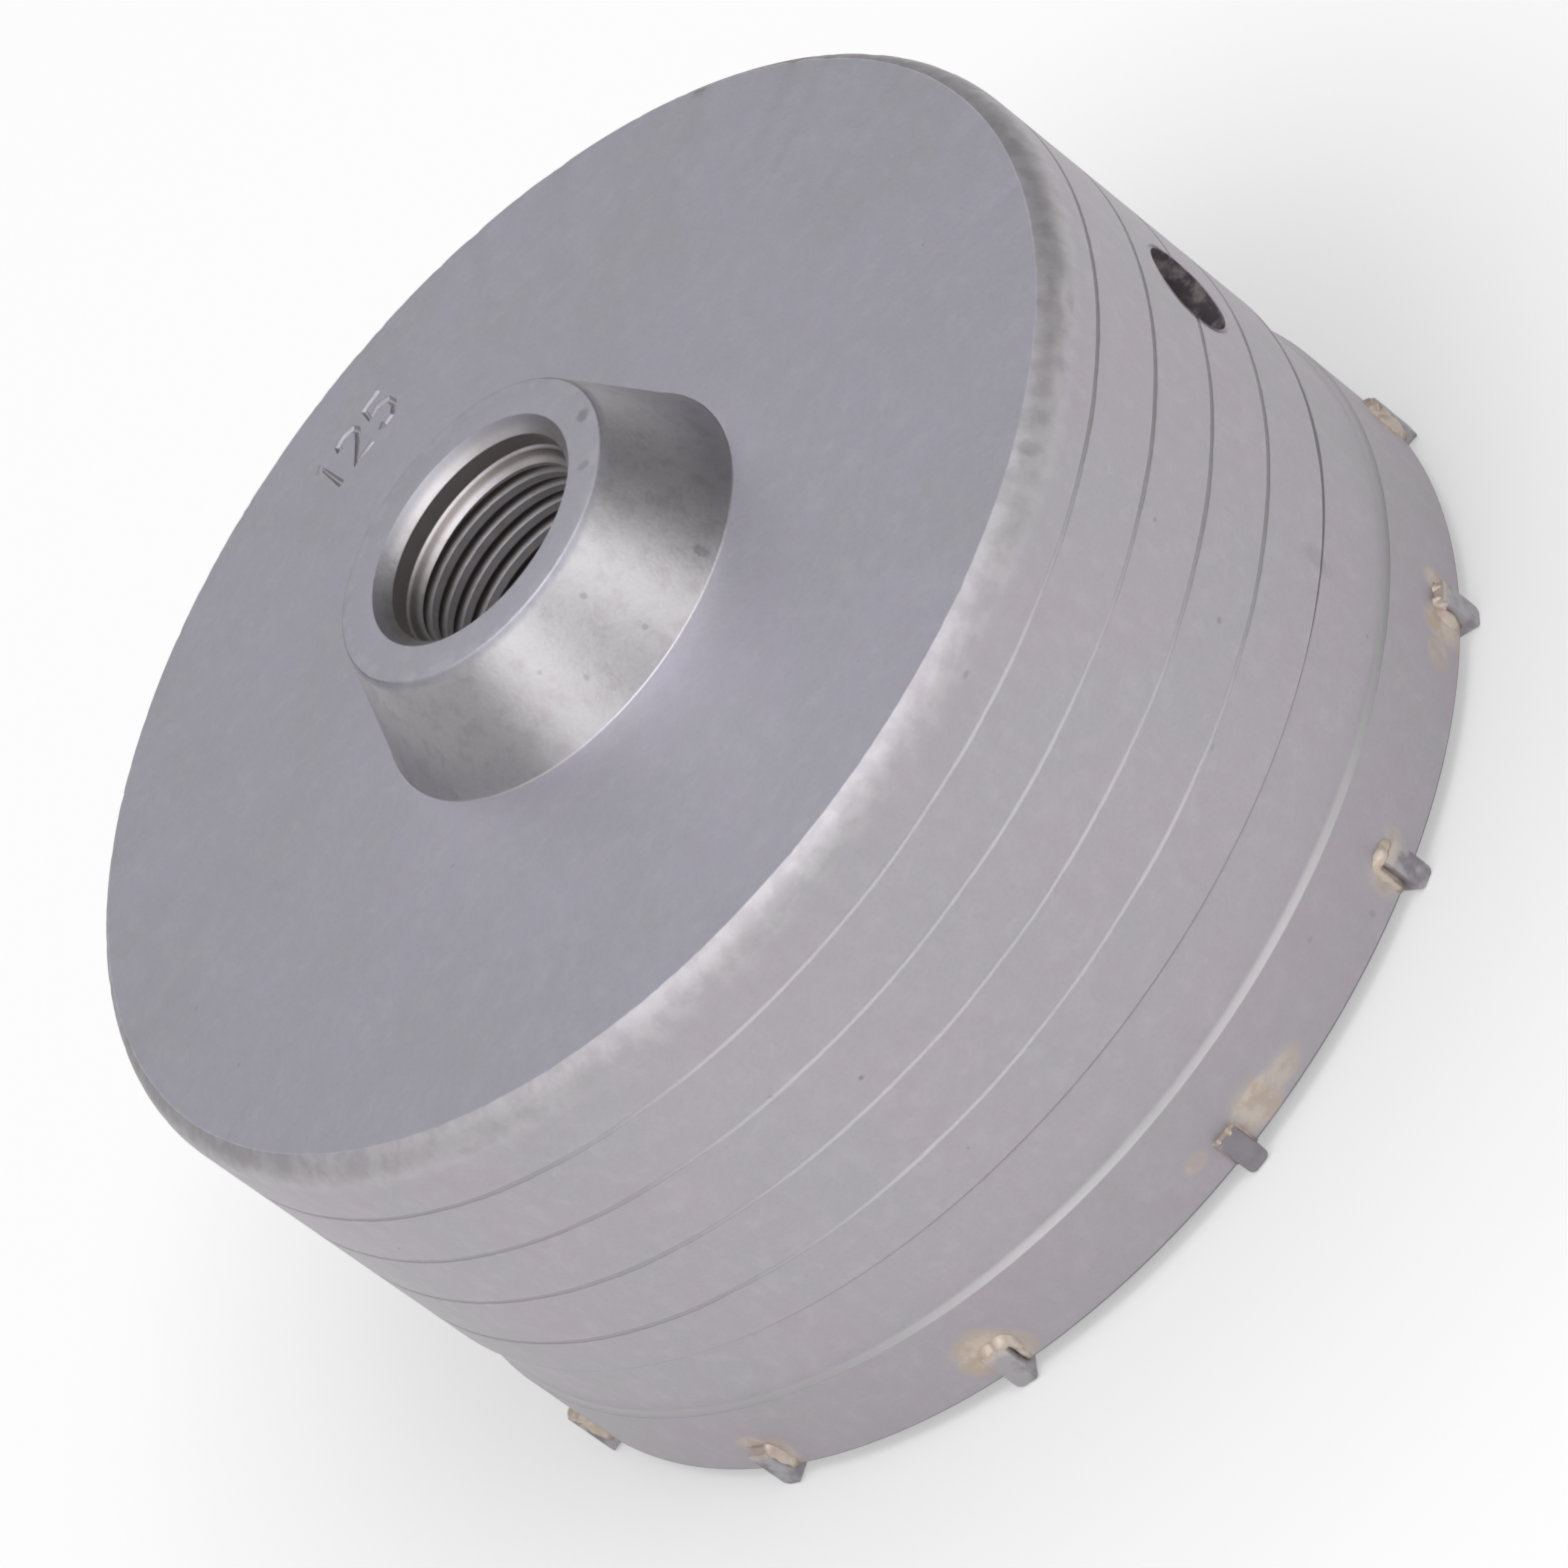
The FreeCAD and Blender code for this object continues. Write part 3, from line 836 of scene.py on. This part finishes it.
    stain = fluxStain(finish, (patch - 0.5) * 1.5 + (grain - 0.5) * 0.5)
    fluxColour = finish.mix(patch.rise(0.62, 0.38), flux["pale"], flux["burnt"])
    colour = finish.mix(stain, colour, fluxColour)

    rough = steel["rough"] + 0.12 * (grain - 0.5) + 0.15 * inHole + 0.1 * stain
    rough = rough - 0.1 * cone + 0.08 * nearEdge
    metal = 1.0 - 0.75 * stain - 0.5 * inHole - 0.6 * speck
    normal = finish.bump(grain + patch * 1.6 - speck * 2.0, 0.018)
    finish.shade(colour=colour, metal=metal, rough=rough, normal=normal)
    return finish


carbide = {
    "ground": (0.45, 0.43, 0.455),
    "dark": (0.27, 0.25, 0.275),
    "rough": 0.46,
    "darkTip": 11,
}


def groundCarbide():
    finish = Finish("groundCarbide", "carbide")
    patch = finish.noise(0.5, 3.0, 0.5)
    lines = finish.noise(1.6, 2.0, 0.5, finish.stretched((1.2, 1.2, 9.0)))
    colour = finish.mix(patch.rise(0.40, 0.72), carbide["ground"], carbide["dark"])
    darkPlace = math.tau * (carbide["darkTip"] - 1) / tipCount
    darker = oval(finish, darkPlace, tipHigh.x / mm - 0.1, 0, 1, 3, 4, 0.0)
    colour = finish.mix(darker * 0.75, colour, carbide["dark"])
    # braze metal has run over the edges next to the wall
    z = finish.axes()[2]
    ragged = finish.noise(0.7, 3.0, 0.6) - 0.5
    tinned = (z + ragged * 3.0).rise(rimHeight / mm + 2.6, rimHeight / mm + 3.8) * (1 - darker)
    colour = finish.mix(tinned * 0.7, colour, brazeMetal["cream"])
    finish.shade(colour=colour, metal=0.85 - 0.4 * tinned, rough=carbide["rough"] + 0.15 * (patch - 0.5),
                 normal=finish.bump(lines + patch, 0.008))
    return finish


brazeMetal = {
    "cream": (0.66, 0.57, 0.50),
    "yellow": (0.64, 0.54, 0.44),
    "pink": (0.60, 0.47, 0.41),
    "burnt": (0.22, 0.185, 0.165),
    "rough": 0.5,
}


def brazeFinish():
    finish = Finish("brazeMetal", "braze")
    z = finish.axes()[2]
    patch = finish.noise(0.45, 3.0, 0.55)
    grain = finish.noise(3.0, 3.0, 0.6)
    colour = finish.mix(patch.rise(0.50, 0.64), brazeMetal["cream"], brazeMetal["yellow"])
    colour = finish.mix(patch.rise(0.46, 0.34), colour, brazeMetal["pink"])
    foot = z.rise(rimHeight / mm + 1.5, rimHeight / mm + 0.1) + (grain - 0.5) * 0.5
    colour = finish.mix(foot.atMost(1.0).atLeast(0.0) * 0.7, colour, brazeMetal["burnt"])
    finish.shade(colour=colour, metal=0.4, rough=brazeMetal["rough"] + 0.2 * (grain - 0.5),
                 normal=finish.bump(grain, 0.03))
    return finish


steelFinish = blastedSteel()
steelFinish.on(coreCup)
carbideFinish = groundCarbide()
brazeLook = brazeFinish()
for number in range(tipCount):
    carbideFinish.on(tips[number])
    brazeLook.on(seams[number])
print("finishes: steel, carbide and braze metal")


floorLook = {
    "radius": 2.2,
    "segments": 96,
    "colour": (0.86, 0.86, 0.86),
    "glowReach": (65, 130),     # millimetres from the part's axis
    "glow": (0.4, 0.93),
}


def placeFloor():
    bm = bmesh.new()
    bmesh.ops.create_circle(bm, cap_ends=True, segments=floorLook["segments"], radius=floorLook["radius"])
    floor = finishMesh("floor", bm)
    look = Finish("paleFloor")
    look.tree.nodes.remove(look.shader)
    rays = ["Is Camera Ray", "Is Glossy Ray", "Is Transmission Ray"]
    seen = strongest([look.node("ShaderNodeLightPath", output=ray) for ray in rays])
    # the floor glows less close to the part, where its shadow lies
    share = look.length(look.place).rise(*floorLook["glowReach"], *floorLook["glow"])
    diffuse = look.node("ShaderNodeBsdfDiffuse", {}, {"Color": floorLook["colour"]})
    glow = look.node("ShaderNodeEmission")
    mixed = look.node("ShaderNodeMixShader", {}, {0: share * seen, 1: diffuse, 2: glow})
    look.feed(look.tree.nodes["Material Output"].inputs["Surface"], mixed)
    floor.data.materials.append(look.material)


placeFloor()

# The camera looks down at the hub side and is rolled, so that the axis leans across the picture
view = {
    "place": (130.2, -781.9, 522.9),
    "target": (-1.36, -0.23, 26.68),
    "roll": -53.11,
    "lens": 226.3,
}


def placeCamera():
    data = bpy.data.cameras.new("camera")
    data.lens = view["lens"]
    data.sensor_width = 36
    data.clip_start = 0.05
    camera = bpy.data.objects.new("camera", data)
    bpy.context.scene.collection.objects.link(camera)
    place = Vector(view["place"]) * mm
    level = (Vector(view["target"]) * mm - place).to_track_quat("-Z", "Y").to_matrix().to_4x4()
    roll = Matrix.Rotation(math.radians(view["roll"]), 4, "Z")
    camera.matrix_world = Matrix.Translation(place) @ level @ roll
    bpy.context.scene.camera = camera


placeCamera()

# Soft lamps in a ring round the part: degrees round it and over it, width in metres and watts
lampDistance = 1.4
lampAim = Vector((0, 0, 0.03))
lamps = {
    "lowLeft": {"azimuth": -120, "height": 25, "size": 0.9, "power": 3.2},
    "lowFront": {"azimuth": -84.5, "height": 20, "size": 0.8, "power": 0.3},
    "lowRight": {"azimuth": -50.5, "height": 25, "size": 0.9, "power": 3.0},
    "highLeft": {"azimuth": -125.5, "height": 55, "size": 1.2, "power": 3.0},
    "highFront": {"azimuth": -70, "height": 58, "size": 1.2, "power": 2.7},
    "highRight": {"azimuth": -35.5, "height": 55, "size": 1.2, "power": 2.1},
    "side": {"azimuth": 174.5, "height": 30, "size": 0.9, "power": 1.6},
    "back": {"azimuth": 99.5, "height": 35, "size": 0.9, "power": 1.85},
    "top": {"azimuth": -80.5, "height": 89, "size": 1.4, "power": 9.0},
}


def placeLamp(name, azimuth, height, size, power):
    data = bpy.data.lights.new(name, "AREA")
    data.shape = "DISK"
    data.size = size
    data.energy = power
    lamp = bpy.data.objects.new(name, data)
    bpy.context.scene.collection.objects.link(lamp)
    turn = Matrix.Rotation(math.radians(azimuth), 3, "Z") @ Matrix.Rotation(math.radians(-height), 3, "Y")
    lamp.location = turn @ Vector((lampDistance, 0, 0)) + lampAim
    lamp.rotation_euler = (lampAim - lamp.location).to_track_quat("-Z", "Y").to_euler()


for name, lamp in lamps.items():
    placeLamp(name, **lamp)
print("floor, camera and", len(lamps), "lamps placed")

world = bpy.data.worlds.new("studio")
world.use_nodes = True
background = world.node_tree.nodes["Background"]
background.inputs["Color"].default_value = (1, 1, 1, 1)
background.inputs["Strength"].default_value = 0.04
bpy.context.scene.world = world

bpy.context.scene.view_settings.view_transform = "Standard"
